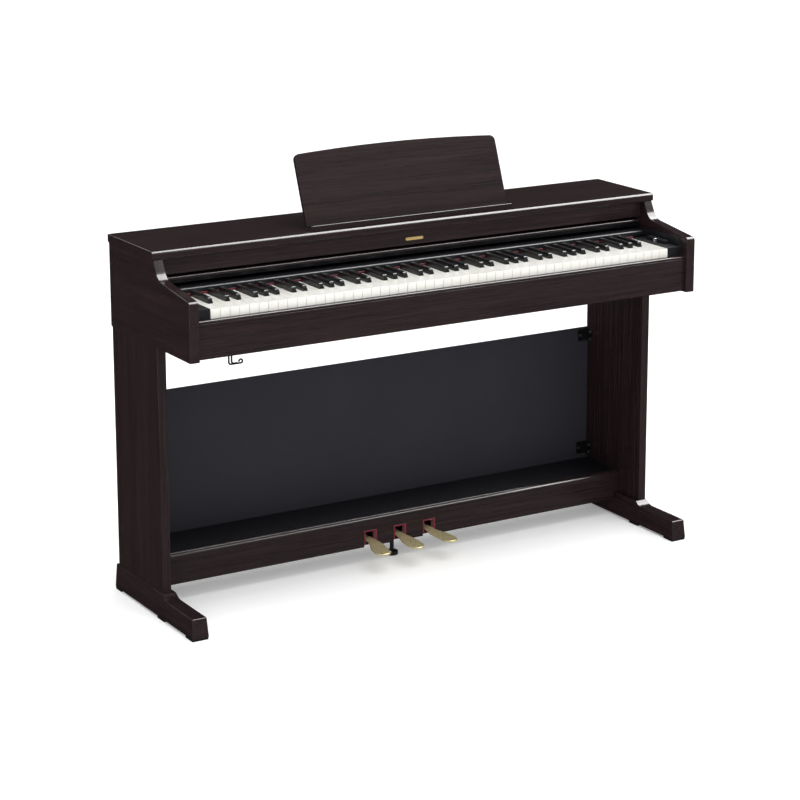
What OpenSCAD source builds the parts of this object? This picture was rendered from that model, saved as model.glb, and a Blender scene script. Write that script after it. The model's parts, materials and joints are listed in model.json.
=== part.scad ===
// Console digital piano on its own stand: 88 keys, sliding key cover, folding music rest and three pedals.
// Millimetres, +Z up, +X to the player's right, -Y towards the player. The origin is on the floor, at the
// middle of the overall width and depth. Inside the case, places are given as a distance in front of the
// case's rear face.

/* [Overall] */
// Overall width, which is the top board's and the feet's
width = 1357; // [1330:1:1640]
// Overall height to the top board, with the music rest folded
height = 849; // [790:1:1020]
// Overall depth, from the back of the feet to the front of the cheeks
depth = 422; // [410:1:520]
// How far the feet stand out behind the case
foot_heel = 12; // [6:1:20]

/* [Case] */
// Height of the case, from its underside to the top board's upper face
case_height = 214.5; // [205:0.5:230]
// Thickness of the top board
top_thick = 19; // [15:0.5:23]
// How far the top board overhangs each cheek
top_overhang = 3; // [1:0.5:5]
// How far the cheeks reach out in front of the top board
front_reach = 174; // [160:1:185]
// Thickness of a cheek
cheek_thick = 23.5; // [19:0.5:27]
// Thickness of the key bed
bed_thick = 16; // [12:0.5:18]
// Thickness of the key slip and the fascia
rail_thick = 13; // [10:0.5:15]
// Thickness of the case's rear board
rear_board_thick = 9; // [5:0.5:11]

/* [Keyboard] */
// Distance between white keys' middles
white_pitch = 23.57; // [22.8:0.01:23.9]
// Gap between two white keys
key_gap = 1; // [0.7:0.1:1.4]
// Height of the white keys' tops above the case's underside
key_rise = 108.5; // [104:0.5:114]
// Depth of a white key's front face
key_deep = 24; // [20:0.5:25]
// Length of a white key's wide head
head_length = 50; // [46:0.5:54]
// Length of a white key that shows
shown_length = 145; // [140:0.5:152]
// Distance from the white keys' fronts to the pivot rod
pivot_length = 220; // [205:1:230]
// Width of a black key
black_width = 10.6; // [9.4:0.1:11]
// Height of the black keys above the white ones
black_rise = 12; // [10:0.5:12.5]
// Radius of the keys' pivot rod
pivot_rod_r = 2.5; // [2:0.1:3]

/* [Key cover] */
// Depth of the cover's front rail, front to back
cover_rail_deep = 18; // [14:0.5:20]
// Thickness of the cover's board
cover_thick = 6; // [4:0.5:6.5]
// Radius of the shaft at the cover's rear edge
cover_shaft_r = 3.5; // [2.5:0.1:3.8]

/* [Music rest] */
// Width of the music rest
rest_width = 545; // [460:1:650]
// Height of the music rest along its slope, at the ends
rest_length = 166; // [140:1:168]
// Thickness of the music rest
rest_thick = 8; // [6:0.5:10]
// How far the raised music rest leans back from upright, in degrees
rest_lean = 20.5; // [16:0.5:26]

/* [Stand] */
// Thickness of a side panel
panel_thick = 21.5; // [18:0.5:24]
// Depth of a side panel, front to back
panel_depth = 237; // [210:1:260]
// Height of a foot under the side panel
foot_height = 62; // [54:0.5:72]
// Height of a foot's low front part
toe_height = 51; // [42:0.5:53]
// Width of a foot at the floor
foot_width = 41; // [36:0.5:44]
// Height of the back board's upper edge
back_board_top = 467; // [400:1:520]
// Thickness of the back board
back_board_thick = 4; // [3:0.5:5]

/* [Pedals] */
// Distance between two pedals' notches
pedal_pitch = 82.3; // [70:0.1:90]
// Depth of the pedal box, from the case's rear line to its front face
pedal_box_front = 151.5; // [144:0.5:160]
// Height of the pedal box's underside
pedal_box_bottom = 45; // [40:0.5:50]
// Height of the pedal box's top
pedal_box_top = 118; // [114:0.5:130]
// How far a pedal reaches out of its box
pedal_reach = 95; // [80:1:110]
// Radius of the pedals' axle
pedal_axle_r = 4; // [3:0.1:4.5]
// Thickness of a pedal
pedal_thick = 7; // [5:0.5:8]

/* [Hidden] */

// Colours
rosewood = "#33272a";
rosewood_light = "#3e3232";
black_plastic = "#1e1f22";
ivory = "#efeee6";
felt_red = "#8a1f33";
brass = "#b9a56a";
steel = "#9a9da0";

// Clearances: between pieces that move past each other, and a shaft's in its bore
gap = 0.5;
running = 0.06;

// Smoothness of round parts
$fn = 48;

// Case: distances d are in front of the rear face, heights are from the floor
rear_y = depth / 2 - foot_heel;
cheek_front = depth - foot_heel;
case_bottom = height - case_height;
cheek_outer = width / 2 - top_overhang;
inner_x = cheek_outer - cheek_thick;
board_bottom = height - top_thick;
top_front = cheek_front - front_reach;
bed_bottom = case_bottom + 2.5;
bed_top = bed_bottom + bed_thick;
slip_front = cheek_front - 10;
slip_back = slip_front - rail_thick;
rear_inset = 3;

// Keyboard
key_top = case_bottom + key_rise;
key_bottom = key_top - key_deep;
key_front = cheek_front - 25;
head_back = key_front - head_length;
key_wall = key_front - shown_length;
pivot_d = key_front - pivot_length;
pivot_z = key_top - 10;
tail_back = pivot_d - 7;
neck_front = key_wall - 10;
key_dip = 10;
white_keys = 52;
keys_left = -white_keys * white_pitch / 2;
octave = 7 * white_pitch;
black_front = head_back - 1;
black_back = key_wall + 4.5;
ear_thick = 2;
block_x = white_keys * white_pitch / 2 + 1.2;
block_top = key_top + 1.5;

// Key cover: its front rail stands just behind the key wall, and the closed cover reaches the key slip's front
fascia_front = top_front - 17;
fascia_back = fascia_front - rail_thick;
cover_front = key_wall - 18;
cover_back = cover_front - cover_rail_deep;
cover_travel = slip_front - cover_front;
cover_bottom = key_top + 26;
cover_top = key_top + 41.5;
shaft_d = fascia_back - cover_travel + 2;
shaft_z = cover_top - 4.5;
roller_r = cover_shaft_r + 1;
groove_half = roller_r + gap;
liner_x = inner_x - 3.5;
cover_half = liner_x - 0.9;
guide_x = inner_x - 3.9;
knuckle_width = 30;

// Control panel: the black strip between the keys and the cover
ridge_z = key_top + 17;
wall_bottom = key_top + 4.5;

// Controls on the end blocks
control_x = liner_x - 7.5;
button_d = key_wall + 69;
button_r = 5.5;
pad_top = block_top + 8;
slider_x = block_x + 11;
slider_d = key_wall + 77;
slider_half = 20;
knob_half = 6;

// Music rest
rest_d = fascia_front - 33;
rest_pivot_d = rest_d;
rest_pivot_z = height + 7;
rest_pin_r = 2;
rest_low = -3.5;
hinge_x = rest_width / 2 - 38;
hinge_half = 6;
hinge_front = 2;
hinge_pocket = 2 * (hinge_half + 0.7);
rest_skin = 3;
ledge_high = 12.5;
ledge_front = top_front - 15;
prop_x = rest_width / 2 - 95;
prop_up = 60;
prop_back = 3;
prop_open = 27.3;
prop_half = 2;
prop_pivot_rise = rest_pivot_z - height + prop_up * cos(rest_lean) - prop_back * sin(rest_lean);
prop_length = (prop_pivot_rise - prop_half - 0.4) / cos(prop_open);

// Stand
panel_outer = width / 2 - 6;
panel_inner = panel_outer - panel_thick;
foot_outer = width / 2;
pad_height = 5;
foot_taper = 3.5;
toe_front = cheek_front - 12;
board_d = 2;

// Pedal box
pedal_x = [-pedal_pitch, 0, pedal_pitch];
notch_width = 34;
notch_top = pedal_box_bottom + 41;
box_wall = 10;
box_front_thick = 15;
box_rear = board_d + back_board_thick;
axle_d = 70;
axle_z = pedal_box_bottom + 22;
pedal_slope = 4.5;
lever_back = axle_d - 44;
spring_d = axle_d - 36;
spring_r = 6;
spring_wire = 0.8;
adjuster_d = 112;
adjuster_r = 5;

// ---- Helpers -------------------------------------------------------------------------------------------

// A box between two x, two distances from the rear face and two heights
module block(x0, x1, d0, d1, z0, z1)
    translate([x0, rear_y - d1, z0])
        cube([x1 - x0, d1 - d0, z1 - z0]);

// A side view drawn as (distance from the rear face, height), given thickness from x0 to x1
module side_view(x0, x1)
    translate([x0, rear_y, 0])
        rotate([90, 0, 90])
            linear_extrude(x1 - x0)
                mirror([1, 0])
                    children();

// A cylinder along X between x0 and x1, at distance d and height z
module bar_x(x0, x1, d, z, r)
    translate([x0, rear_y - d, z])
        rotate([0, 90, 0])
            cylinder(r = r, h = x1 - x0);

// The same piece on both sides of the middle
module both_sides() {
    children();
    mirror([1, 0, 0])
        children();
}

function unit(v) = v / norm(v);

// The arc that rounds the corner b of the path a, b, c with radius r
function corner_arc(a, b, c, r, steps = 7) =
    let (u = unit(a - b), v = unit(c - b), half = acos(u * v) / 2,
         centre = b + unit(u + v) * r / sin(half),
         from = b + u * r / tan(half) - centre, to = b + v * r / tan(half) - centre)
    [for (i = [0:steps]) centre + r * unit(from * (1 - i / steps) + to * i / steps)];

// An outline from corners given as [x, y, radius]
function rounded(corners) =
    [for (i = [0:len(corners) - 1])
        let (n = len(corners), a = corners[(i + n - 1) % n], b = corners[i], c = corners[(i + 1) % n])
        each b[2] > 0 ? corner_arc([a[0], a[1]], [b[0], b[1]], [c[0], c[1]], b[2]) : [[b[0], b[1]]]];

// ---- Case ----------------------------------------------------------------------------------------------

module top_board() {
    color(rosewood)
        side_view(-width / 2, width / 2)
            polygon(rounded([[0, board_bottom, 2], [top_front, board_bottom, 3],
                             [top_front, height, 8], [0, height, 2]]));
}

// The cheek's side view: an upright under the top board, a hollow curve, then a slope to a rounded nose
module cheek_outline()
    polygon(rounded([[0, case_bottom, 0], [cheek_front, case_bottom, 2],
                     [cheek_front, key_top + 25.5, 9], [top_front + 17.3, key_top + 46.5, 35],
                     [top_front - 3, board_bottom, 0], [0, board_bottom, 0]]));

module left_cheek() {
    color(rosewood)
        side_view(-cheek_outer, -inner_x)
            cheek_outline();
}

module right_cheek() {
    color(rosewood)
        side_view(inner_x, cheek_outer)
            cheek_outline();
}

// Front rail under the keys, with two beads moulded along its upper edge
module key_slip() {
    slip_top = key_top - 20;
    bead_top = slip_top - 6.5;
    upper = slip_front + 2;
    lower = slip_front + 1.5;
    color(rosewood)
        side_view(-inner_x, inner_x)
            polygon(rounded([[slip_back, bed_bottom, 0], [slip_front, bed_bottom, 2],
                             [slip_front, bead_top - 3.5, 0], [lower, bead_top - 3.5, 0.5],
                             [lower, bead_top, 1.4], [slip_front, bead_top, 0], [slip_front, slip_top - 5, 0],
                             [upper, slip_top - 5, 0.5], [upper, slip_top, 3], [slip_back, slip_top, 2]]));
}

speaker_r = 54;
speaker_x = inner_x - 170;
speaker_d = 84;

module key_bed() {
    color(black_plastic)
        difference() {
            block(-inner_x, inner_x, rear_inset, slip_back, bed_bottom, bed_top);
            both_sides()
                translate([speaker_x, rear_y - speaker_d, bed_bottom - 1])
                    cylinder(r = speaker_r, h = bed_thick + 2, $fn = 64);
        }
}

module case_back() {
    color(black_plastic)
        block(-inner_x, inner_x, rear_inset, rear_inset + rear_board_thick, bed_top, board_bottom);
}

module fascia_board() {
    color(rosewood)
        block(-inner_x, inner_x, fascia_back, fascia_front, key_top + 47.5, board_bottom);
}

// A plain brass bar with round ends
module badge() {
    badge_half = 24;
    badge_r = 3.5;
    badge_z = key_top + 62;
    color(brass)
        translate([0, rear_y - fascia_front, badge_z])
            rotate([90, 0, 0])
                linear_extrude(1.2)
                    union() {
                        square([2 * badge_half - 2 * badge_r, 2 * badge_r], center = true);
                        for (side = [-1, 1])
                            translate([side * (badge_half - badge_r), 0])
                                circle(r = badge_r);
                    }
}

// ---- Key cover -----------------------------------------------------------------------------------------

// Grooved rails on the cheeks' inner faces, in which the cover shaft's rollers run
module cover_guides() {
    guide_start = shaft_d - 12;
    guide_end = shaft_d + cover_travel + 8;
    color(black_plastic)
        both_sides()
            difference() {
                block(guide_x, inner_x, guide_start, guide_end, shaft_z - groove_half - 2.5,
                      shaft_z + groove_half + 2.5);
                block(guide_x - 1, inner_x - 1.2, shaft_d - roller_r - gap,
                      shaft_d + cover_travel + roller_r + gap, shaft_z - groove_half, shaft_z + groove_half);
            }
}

// A steel shaft along the cover's rear edge, with a roller at each end
module cover_shaft() {
    roller_end = inner_x - 1.2 - gap;
    color(steel) {
        bar_x(-roller_end, roller_end, shaft_d, shaft_z, cover_shaft_r);
        both_sides()
            bar_x(guide_x + 0.4, roller_end, shaft_d, shaft_z, roller_r);
    }
}

module key_cover_board() {
    board_top = shaft_z + 3;
    color(rosewood)
        difference() {
            union() {
                block(-cover_half, cover_half, shaft_d + 8, cover_back, board_top - cover_thick, board_top);
                for (x = [-0.62, 0, 0.62])
                    block(x * inner_x - knuckle_width / 2, x * inner_x + knuckle_width / 2,
                          shaft_d - 6.5, shaft_d + 8, shaft_z - 6.5, shaft_z + 6);
            }
            bar_x(-inner_x, inner_x, shaft_d, shaft_z, cover_shaft_r + running);
        }
}

// The rail that the player grips: a rounded nose over a set-back lower lip
module key_cover_rail() {
    nose_bottom = cover_bottom + 7;
    color(rosewood_light)
        side_view(-cover_half, cover_half)
            polygon(rounded([[cover_back, cover_bottom, 0], [cover_front - 3, cover_bottom, 1],
                             [cover_front - 3, nose_bottom, 0], [cover_front, nose_bottom, 1.5],
                             [cover_front, cover_top, 3.5], [cover_back, cover_top, 2]]));
}

// ---- Control panel and end blocks ----------------------------------------------------------------------

// A folded black strip: a wall down to the keys, a rounded ridge and a shelf under the cover
module control_panel() {
    skin = 3;
    shelf_back = cover_back - 8;
    color(black_plastic)
        side_view(-liner_x, liner_x)
            polygon(rounded([[key_wall, wall_bottom, 0], [key_wall, ridge_z, 4.5], [shelf_back, ridge_z, 0],
                             [shelf_back, ridge_z - skin, 0], [key_wall - skin, ridge_z - skin, 2],
                             [key_wall - skin, wall_bottom, 0]]));
}

// The block beside the keys, and the liner on the cheek with its large rounded front corner
module end_block_shape() {
    liner_top = key_top + 23;
    block(block_x, liner_x, key_wall, key_front, bed_top, block_top);
    side_view(liner_x, inner_x)
        polygon(rounded([[key_front + 2, bed_top, 0],
                         [key_front + 2, liner_top, 24], [key_wall + 50, liner_top, 40],
                         [cover_front - 14, key_top + 14, 0], [cover_front - 14, bed_top, 0]]));
}

// A raised pad for a push button, on the block's top
module button_pad(d, long)
    block(control_x - 7.5, liner_x, d - long / 2, d + long / 2, block_top, pad_top);

module button_hole(d, r)
    translate([control_x, rear_y - d, block_top - 8])
        cylinder(r = r + gap, h = 20);

module button_cap(d, r, proud)
    translate([control_x, rear_y - d, block_top - 4])
        cylinder(r = r, h = pad_top - block_top + 4 + proud);

function_d = [for (i = [0:2]) button_d - 20 + 20 * i];
function_r = 4;

module left_end_block() {
    color(black_plastic)
        difference() {
            mirror([1, 0, 0]) {
                end_block_shape();
                button_pad(button_d, 62);
            }
            for (d = function_d)
                mirror([1, 0, 0])
                    button_hole(d, function_r);
        }
}

module right_end_block() {
    slot_half = 1.5;
    color(black_plastic)
        difference() {
            union() {
                end_block_shape();
                button_pad(button_d, 74);
            }
            button_hole(button_d, button_r);
            block(slider_x - slot_half, slider_x + slot_half, slider_d - slider_half - 2.5,
                  slider_d + slider_half + 2.5, block_top - 8, block_top + 1);
        }
}

module power_button() {
    color(black_plastic)
        button_cap(button_d, button_r, 2);
}

// A thin upright knob on a stem that runs in the slot
module volume_knob() {
    color(steel) {
        block(slider_x - 1, slider_x + 1, slider_d - 2, slider_d + 2, block_top - 6, block_top + 1);
        block(slider_x - 3, slider_x + 3, slider_d - knob_half / 2, slider_d + knob_half / 2,
              block_top + 0.5, block_top + 10.5);
    }
}

module function_button(i) {
    color(black_plastic)
        mirror([1, 0, 0])
            button_cap(function_d[i], function_r, 1.5);
}

// ---- Keyboard ------------------------------------------------------------------------------------------

// Within an octave, where the tails' boundaries lie, C's left side being 0. The white tails in C to E
// share what the two black keys leave of three pitches, and those in F to B share four pitches.
black_slot = black_width + 2.2;
tail_ce = (3 * white_pitch - 2 * black_slot) / 3;
tail_fb = (4 * white_pitch - 3 * black_slot) / 4;
function slots(n, tail) = ceil(n / 2) * tail + floor(n / 2) * black_slot;
function slot_edge(i) = i <= 5 ? slots(i, tail_ce) : 3 * white_pitch + slots(i - 5, tail_fb);

// A pitch's number among its octave's white keys, or that of the one before a black key
white_index = [0, 0, 1, 1, 2, 3, 3, 4, 4, 5, 5, 6];
is_black = [false, true, false, true, false, false, true, false, true, false, true, false];

// The keyboard runs from the A of octave 0 to the C of octave 8
function on_keyboard(pitch, oct) = 12 * oct + pitch >= 9 && 12 * oct + pitch <= 96;
function octave_x(oct) = keys_left + (oct * 7 - 5) * white_pitch;

module pivot_hole(x0, x1)
    bar_x(x0 - 1, x1 + 1, pivot_d, pivot_z, pivot_rod_r + running);

module white_key(pitch, oct) {
    x = octave_x(oct);
    half_gap = key_gap / 2;
    head_left = x + white_index[pitch] * white_pitch + half_gap;
    head_right = head_left + white_pitch - key_gap;
    first = 12 * oct + pitch == 9;
    last = 12 * oct + pitch == 96;
    tail_left = first ? head_left : max(x + slot_edge(pitch) + half_gap, head_left);
    tail_right = last ? head_right : min(x + slot_edge(pitch + 1) - half_gap, head_right);
    neck_in = 1.3;
    difference() {
        union() {
            block(head_left, head_right, head_back, key_front, key_bottom, key_top);
            block(tail_left, tail_right, neck_front, head_back, key_bottom, key_top);
            block(tail_left + neck_in, tail_right - neck_in, tail_back, neck_front, key_bottom, key_top);
        }
        pivot_hole(head_left, head_right);
    }
}

module black_key(pitch, oct) {
    x = octave_x(oct);
    middle = x + (slot_edge(pitch) + slot_edge(pitch + 1)) / 2;
    half = black_width / 2;
    top_half = half - 0.8;
    black_top = key_top + black_rise;
    difference() {
        union() {
            block(middle - half, middle + half, tail_back, black_front, key_bottom, key_top);
            intersection() {
                side_view(middle - half, middle + half)
                    polygon(rounded([[black_back, key_top, 0], [black_front, key_top, 0],
                                     [black_front - 6, black_top, 2], [black_back, black_top, 0]]));
                translate([middle, rear_y - black_back, 0])
                    rotate([90, 0, 0])
                        linear_extrude(black_front - black_back)
                            polygon([[-half, key_top - 1], [half, key_top - 1],
                                     [top_half, black_top + 1], [-top_half, black_top + 1]]);
            }
        }
        pivot_hole(middle - half, middle + half);
    }
}

// Every key of one pitch
module keys_of(pitch) {
    color(is_black[pitch] ? black_plastic : ivory)
        for (oct = [0:8])
            if (on_keyboard(pitch, oct))
                if (is_black[pitch])
                    black_key(pitch, oct);
                else
                    white_key(pitch, oct);
}

// The red strip behind the keys, and the felt that stops their fronts
module key_felts() {
    stop_top = key_bottom - key_dip - 0.4;
    color(felt_red) {
        block(-block_x, block_x, key_wall - 3, key_wall + 3, wall_bottom - 2.6, wall_bottom);
        block(-block_x, block_x, key_front - 32, key_front - 13, stop_top - 5, stop_top);
    }
}

// Ears that hold the pivot rod stand in the wider gaps between B and C, and at both ends
ear_x = concat([keys_left - ear_thick / 2 + 0.2], [for (oct = [1:7]) octave_x(oct)],
               [-keys_left + ear_thick / 2 - 0.2]);

module key_frame() {
    rear_rail_top = key_bottom - 3;
    front_rail_top = key_bottom - key_dip - 5.4;
    color("#3a3c40")
        difference() {
            union() {
                block(-block_x, block_x, pivot_d - 15, key_front - 6, bed_top, bed_top + 4);
                block(-block_x, block_x, pivot_d - 9, pivot_d + 9, bed_top + 4, rear_rail_top);
                block(-block_x, block_x, key_front - 36, key_front - 9, bed_top + 4, front_rail_top);
                for (x = ear_x)
                    block(x - ear_thick / 2, x + ear_thick / 2, pivot_d - 6, pivot_d + 6,
                          rear_rail_top, pivot_z + 6);
            }
            bar_x(-block_x - ear_thick, block_x + ear_thick, pivot_d, pivot_z, pivot_rod_r + running);
        }
}

module key_pivot_rod() {
    rod_half = -keys_left + ear_thick;
    color(steel)
        bar_x(-rod_half, rod_half, pivot_d, pivot_z, pivot_rod_r);
}

// ---- Electronics and sound -----------------------------------------------------------------------------

// The main board on posts behind the keys, and the long switch board under them
module circuit_boards() {
    board_z = bed_top + 12;
    color("#1f6b3a") {
        block(-150, 150, 30, 130, board_z, board_z + 1.6);
        for (x = [-140, 140])
            for (d = [38, 122])
                translate([x, rear_y - d, bed_top])
                    cylinder(r = 3, h = 12);
        block(-60, -20, 60, 100, board_z + 1.6, board_z + 6);
        block(40, 110, 50, 110, board_z + 1.6, board_z + 26);
        block(-block_x + 4, block_x - 4, pivot_d + 40, pivot_d + 75, bed_top + 30, bed_top + 31.6);
        for (x = [-0.9, -0.3, 0.3, 0.9])
            block(x * block_x - 4, x * block_x + 4, pivot_d + 50, pivot_d + 65, bed_top + 4, bed_top + 30);
    }
}

// Two drivers facing down through the key bed: a steel basket, a paper cone and a magnet
module speakers() {
    flange_r = speaker_r + 8;
    color("#2c2d30")
        both_sides()
            translate([speaker_x, rear_y - speaker_d, bed_top])
                rotate_extrude($fn = 64)
                    polygon([[speaker_r - 2, 0], [flange_r, 0], [flange_r, 2], [speaker_r, 4],
                             [30, 30], [36, 32], [36, 50], [0, 50], [0, 28], [16, 26]]);
}

// Phone sockets under the left end of the key bed, facing the player
jack_x = -inner_x + 48;
jack_r = 3.2;
jack_pitch = 24;
jack_z = bed_bottom - 11;
jack_front = slip_back - 86;

module jack_box() {
    color(black_plastic)
        difference() {
            block(jack_x - 26, jack_x + 26, jack_front - 34, jack_front, bed_bottom - 22, bed_bottom);
            for (side = [-1, 1])
                translate([jack_x + side * jack_pitch / 2, rear_y - jack_front - 1, jack_z])
                    rotate([-90, 0, 0])
                        cylinder(r = jack_r, h = 31);
        }
}

// A quarter or more of a round bend in a wire, in the XZ plane, from its lowest point towards +X
module wire_bend(bend_r, wire_r, turn)
    rotate([90, 0, 0])
        rotate([0, 0, -90])
            rotate_extrude(angle = turn)
                translate([bend_r, 0])
                    circle(r = wire_r, $fn = 24);

// Two bent wires under the key bed, the front one ending in a curl, to hang headphones on
module headphone_hook() {
    wire_r = 2;
    bend_r = 5;
    curl_r = 4.2;
    hook_x = jack_x + 34;
    hook_y = rear_y - slip_back + 4;
    low = bed_bottom - 22.6;
    module leg(x, y, end_x) {
        translate([x, y, low + bend_r])
            cylinder(r = wire_r, h = bed_bottom - 2 - low - bend_r, $fn = 24);
        translate([x + bend_r, y, low + bend_r])
            mirror([1, 0, 0])
                wire_bend(bend_r, wire_r, 90);
        translate([x + bend_r, y, low])
            rotate([0, 90, 0])
                cylinder(r = wire_r, h = end_x - x - bend_r, $fn = 24);
    }
    curl_x = hook_x + 29;
    color(black_plastic) {
        translate([hook_x - 5, hook_y - 5, bed_bottom - 2])
            cube([20, 13, 2]);
        leg(hook_x, hook_y, curl_x);
        translate([curl_x, hook_y, low + curl_r])
            wire_bend(curl_r, wire_r, 280);
        leg(hook_x + 9, hook_y + 2 * wire_r + 0.2, curl_x - 6);
    }
}

// ---- Music rest ----------------------------------------------------------------------------------------

// A strip on the top board whose front edge stands up as a ledge for the pages, with rounded upper ends
module rest_base() {
    ledge_half = rest_width / 2;
    ledge_top = height + ledge_high;
    color(rosewood_light)
        intersection() {
            side_view(-ledge_half, ledge_half)
                polygon(rounded([[rest_d + 6, height, 0], [ledge_front, height, 0],
                                 [ledge_front, ledge_top, 1.5], [ledge_front - 4, ledge_top, 1.5],
                                 [ledge_front - 4, height + 3, 2], [rest_d + 6, height + 3, 0]]));
            translate([0, depth, 0])
                rotate([90, 0, 0])
                    linear_extrude(2 * depth)
                        polygon(rounded([[-ledge_half, height - 1, 0], [ledge_half, height - 1, 0],
                                         [ledge_half, ledge_top, 5], [-ledge_half, ledge_top, 5]]));
        }
}

// Two blocks on the top board, each with a pin for the music rest
module rest_hinges() {
    color(black_plastic)
        both_sides() {
            block(hinge_x - hinge_half, hinge_x + hinge_half, rest_pivot_d - 6, rest_pivot_d + hinge_front,
                  height, rest_pivot_z + 5);
            bar_x(hinge_x - 18, hinge_x + 18, rest_pivot_d, rest_pivot_z, rest_pin_r);
        }
}

// Places its children in the raised rest's own frame: z up its slope, -y out of its front, at the pivot
module on_rest()
    translate([0, rear_y - rest_pivot_d, rest_pivot_z])
        rotate([-rest_lean, 0, 0])
            children();

// The plate's outline, with rounded upper corners and a gently arched top edge
module rest_outline() {
    half = rest_width / 2;
    arch = 8;
    steps = 16;
    corner = 14;
    side_top = rest_length - corner;
    right_arc = [for (a = [0:15:75]) [half - corner + corner * cos(a), side_top + corner * sin(a)]];
    left_arc = [for (a = [105:15:180]) [corner - half + corner * cos(a), side_top + corner * sin(a)]];
    top_edge = [for (i = [steps:-1:0])
                    let (t = 2 * i / steps - 1)
                    [t * (half - corner), rest_length + arch * (1 - t * t)]];
    polygon(concat([[half, rest_low]], right_arc, top_edge, left_arc, [[-half, rest_low]]));
}

// The plate, with a pocket in its back for each hinge block, knuckles around the hinge pins and brackets
// for the supports' pins
module rest_plate() {
    knuckle = 12;
    plate_back = 2.5;
    plate_front = plate_back + rest_thick;
    color(rosewood_light)
        on_rest()
            difference() {
                union() {
                    translate([0, -plate_back, 0])
                        rotate([90, 0, 0])
                            linear_extrude(rest_thick)
                                rest_outline();
                    both_sides() {
                        for (side = [-1, 1])
                            translate([hinge_x + side * (hinge_pocket + 1 + knuckle) / 2 - knuckle / 2,
                                       1 - plate_front, -4.5])
                                cube([knuckle, rest_thick + 6, 18]);
                        for (x = [prop_x - 11, prop_x + 7])
                            translate([x, -plate_back - 1, prop_up - 5])
                                cube([4, plate_back + 1 + prop_back + 2.6, 10]);
                    }
                }
                for (side = [-1, 1]) {
                    translate([side * hinge_x - hinge_pocket / 2, rest_skin - plate_front, rest_low - 1])
                        cube([hinge_pocket, rest_thick, 17]);
                    translate([side * hinge_x - 20, 0, 0])
                        rotate([0, 90, 0])
                            cylinder(r = rest_pin_r + running, h = 40);
                    translate([side * prop_x - 12, prop_back, prop_up])
                        rotate([0, 90, 0])
                            cylinder(r = rest_pin_r + running, h = 24);
                }
            }
}

// Two metal supports behind the rest, each turning on its own pin and standing on the top board
module rest_props() {
    color(steel)
        both_sides()
            on_rest() {
                translate([prop_x - 11, prop_back, prop_up])
                    rotate([0, 90, 0])
                        cylinder(r = rest_pin_r, h = 22);
                translate([prop_x - 6.5, prop_back, prop_up])
                    rotate([rest_lean + prop_open, 0, 0]) {
                        translate([0, -prop_half, -prop_length])
                            cube([13, 2 * prop_half, prop_length]);
                        for (z = [0, -prop_length])
                            translate([0, 0, z])
                                rotate([0, 90, 0])
                                    cylinder(r = z == 0 ? 2.6 : prop_half, h = 13);
                    }
            }
}

// ---- Stand ---------------------------------------------------------------------------------------------

module left_side_panel() {
    color(rosewood)
        block(-panel_outer, -panel_inner, 0, panel_depth, foot_height, case_bottom);
}

module right_side_panel() {
    color(rosewood)
        block(panel_inner, panel_outer, 0, panel_depth, foot_height, case_bottom);
}

// The foot's side view, sweeping down in front of the side panel to a low toe
module foot_outline()
    polygon(rounded([[-foot_heel, pad_height, 0], [toe_front, pad_height, 0],
                     [toe_front - 5, toe_height, 4], [panel_depth + 17, toe_height, 34],
                     [panel_depth + 2, foot_height, 2], [3 - foot_heel, foot_height, 3]]));

// Its front view narrows upwards
module foot() {
    base_z = pad_height;
    color(rosewood)
        intersection() {
            side_view(foot_outer - foot_width, foot_outer)
                foot_outline();
            translate([0, depth, 0])
                rotate([90, 0, 0])
                    linear_extrude(2 * depth)
                        polygon([[foot_outer - foot_width, base_z], [foot_outer, base_z],
                                 [foot_outer - foot_taper, foot_height + 1],
                                 [foot_outer - foot_width + foot_taper, foot_height + 1]]);
        }
}

module left_foot()
    mirror([1, 0, 0])
        foot();

module right_foot()
    foot();

// Three rubber pads under each foot
module foot_pads() {
    pads = [[-foot_heel + 1, 18], [panel_depth - 22, panel_depth + 14], [toe_front - 38, toe_front - 2]];
    color(black_plastic)
        both_sides()
            for (pad = pads)
                block(foot_outer - foot_width + 1, foot_outer - 1, pad[0], pad[1], 0, pad_height);
}

module back_board() {
    color("#2d2c31")
        block(-panel_inner, panel_inner, board_d, box_rear, foot_height, back_board_top);
}

// Angle plates that hold the back board to the side panels
bracket_z = [pedal_box_top + 12, back_board_top - 36];
bracket_size = 32;
bracket_thick = 1.5;

module corner_brackets() {
    color(black_plastic)
        both_sides()
            for (z = bracket_z) {
                block(panel_inner - bracket_size, panel_inner, box_rear, box_rear + bracket_thick,
                      z, z + bracket_size);
                block(panel_inner - bracket_thick, panel_inner, box_rear + bracket_thick,
                      box_rear + 20, z, z + bracket_size);
            }
}

// Pan-head screws in the brackets
module stand_screws() {
    head_r = 4;
    head_high = 2.2;
    color(steel)
        both_sides()
            for (z = bracket_z) {
                translate([panel_inner - 26, rear_y - box_rear - bracket_thick, z + bracket_size / 2])
                    rotate([90, 0, 0])
                        cylinder(r = head_r, h = head_high);
                for (rise = [5, 24])
                    translate([panel_inner - bracket_thick, rear_y - box_rear - 13, z + rise])
                        rotate([0, -90, 0])
                            cylinder(r = head_r, h = head_high);
            }
}

// ---- Pedals --------------------------------------------------------------------------------------------

// Room for the feet, which stand in under both ends of the pedal box
module foot_room()
    both_sides()
        block(foot_outer - foot_width - gap, panel_inner + 1, box_rear - 1, pedal_box_front + 1,
              pedal_box_bottom - 1, foot_height + gap);

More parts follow.
